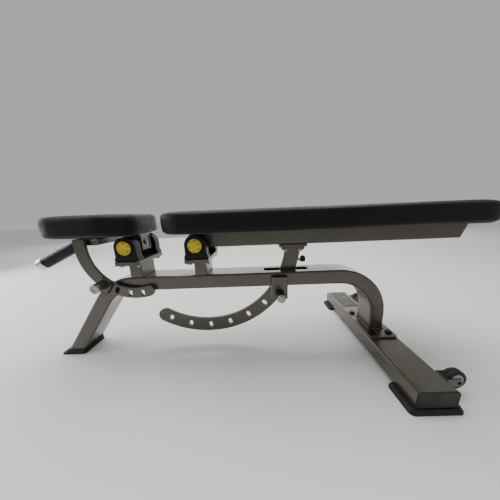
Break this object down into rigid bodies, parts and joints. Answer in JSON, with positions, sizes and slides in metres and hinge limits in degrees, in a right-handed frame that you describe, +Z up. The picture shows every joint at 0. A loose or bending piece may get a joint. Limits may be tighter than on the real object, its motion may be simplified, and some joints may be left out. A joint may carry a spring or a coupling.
{
  "type": "adjustable weight bench",
  "caption": "Flat-to-incline exercise bench with a hinged seat and backrest, slotted locking arcs, pull pins, a carrying handle and transport wheels.",
  "frame": {"origin": "on the floor, in the middle of the length and the width of the bench", "axes": "+X along the bench from the seat to the head end of the backrest, +Z up, the pull pins on the -Y side"},
  "size_m": [1.3722, 0.578, 0.463],
  "materials": {
    "frame_paint": "satin",
    "shoe_rubber": "matte",
    "black_plastic": "satin",
    "yellow_plastic": "satin",
    "zinc_steel": "satin",
    "grip_patch": "matte",
    "pad_vinyl": "satin",
    "plywood": "matte",
    "handle_rubber": "satin",
    "chrome": "polished",
    "pale_plastic": "satin",
    "tyre_rubber": "matte"
  },
  "bodies": {
    "frame": {"main_tube": "frame_paint", "front_foot": "shoe_rubber", "base_crossbar": "frame_paint", "base_end_cap_near": "black_plastic", "base_end_cap_far": "black_plastic", "base_shoe_near": "shoe_rubber", "base_shoe_far": "shoe_rubber", "flange_bolt_1": "zinc_steel", "flange_bolt_2": "zinc_steel", "flange_bolt_3": "zinc_steel", "flange_bolt_4": "zinc_steel", "grip_patch": "grip_patch", "seat_stand": "frame_paint", "back_stand": "frame_paint", "seat_bearing_block_near": "black_plastic", "seat_bearing_ring_near": "zinc_steel", "seat_bearing_cap_near": "yellow_plastic", "seat_bearing_bolt_near": "zinc_steel", "seat_bearing_block_far": "black_plastic", "seat_bearing_ring_far": "zinc_steel", "seat_bearing_cap_far": "yellow_plastic", "seat_bearing_bolt_far": "zinc_steel", "back_bearing_block_near": "black_plastic", "back_bearing_ring_near": "zinc_steel", "back_bearing_cap_near": "yellow_plastic", "back_bearing_bolt_near": "zinc_steel", "back_bearing_block_far": "black_plastic", "back_bearing_ring_far": "zinc_steel", "back_bearing_cap_far": "yellow_plastic", "back_bearing_bolt_far": "zinc_steel", "back_pin_bracket": "frame_paint", "back_pin_spring": "zinc_steel", "seat_pin_bracket": "frame_paint", "seat_pin_spring": "zinc_steel", "wheel_bracket_near": "frame_paint", "wheel_bracket_far": "frame_paint"},
    "backrest": {"back_pad": "pad_vinyl", "back_board": "plywood", "back_tube": "frame_paint", "back_shaft": "zinc_steel", "back_arc_plate": "frame_paint", "arc_bolt_1": "zinc_steel", "arc_bolt_2": "zinc_steel", "arc_bolt_3": "zinc_steel", "arc_bolt_4": "zinc_steel", "stop_bumper": "shoe_rubber"},
    "seat": {"seat_pad": "pad_vinyl", "seat_board": "plywood", "seat_frame": "frame_paint", "seat_shaft": "zinc_steel", "seat_arc_plate": "frame_paint", "handle_grip": "handle_rubber", "handle_cap": "chrome"},
    "back_pull_pin": {"back_pin": "zinc_steel", "back_pin_knob": "pale_plastic"},
    "seat_pull_pin": {"seat_pin": "zinc_steel"},
    "wheel_near": {"wheel_tyre_near": "tyre_rubber", "wheel_hub_near": "pale_plastic"},
    "wheel_far": {"wheel_tyre_far": "tyre_rubber", "wheel_hub_far": "pale_plastic"}
  },
  "joints": [
    {"name": "back_tilt", "type": "hinge", "parent": "frame", "child": "backrest", "pos_m": [-0.1419, 0, 0.3665], "axis": [0, -1, 0], "range_deg": [0, 82.8]},
    {"name": "seat_tilt", "type": "hinge", "parent": "frame", "child": "seat", "pos_m": [-0.3449, 0, 0.3665], "axis": [0, 1, 0], "range_deg": [0, 46.8]},
    {"name": "back_pin_pull", "type": "slide", "parent": "frame", "child": "back_pull_pin", "axis": [0, -1, 0], "range_m": [0, 0.012], "stiffness_N_per_m": 600, "springref_m": -0.01, "deforming": ["back_pin_spring"]},
    {"name": "seat_pin_pull", "type": "slide", "parent": "frame", "child": "seat_pull_pin", "axis": [0, -1, 0], "range_m": [0, 0.01], "stiffness_N_per_m": 600, "springref_m": -0.01, "deforming": ["seat_pin_spring"]},
    {"name": "wheel_near_spin", "type": "hinge", "parent": "frame", "child": "wheel_near", "pos_m": [0.4981, -0.232, 0.044], "axis": [0, 1, 0], "continuous": true},
    {"name": "wheel_far_spin", "type": "hinge", "parent": "frame", "child": "wheel_far", "pos_m": [0.4981, 0.232, 0.044], "axis": [0, 1, 0], "continuous": true}
  ]
}
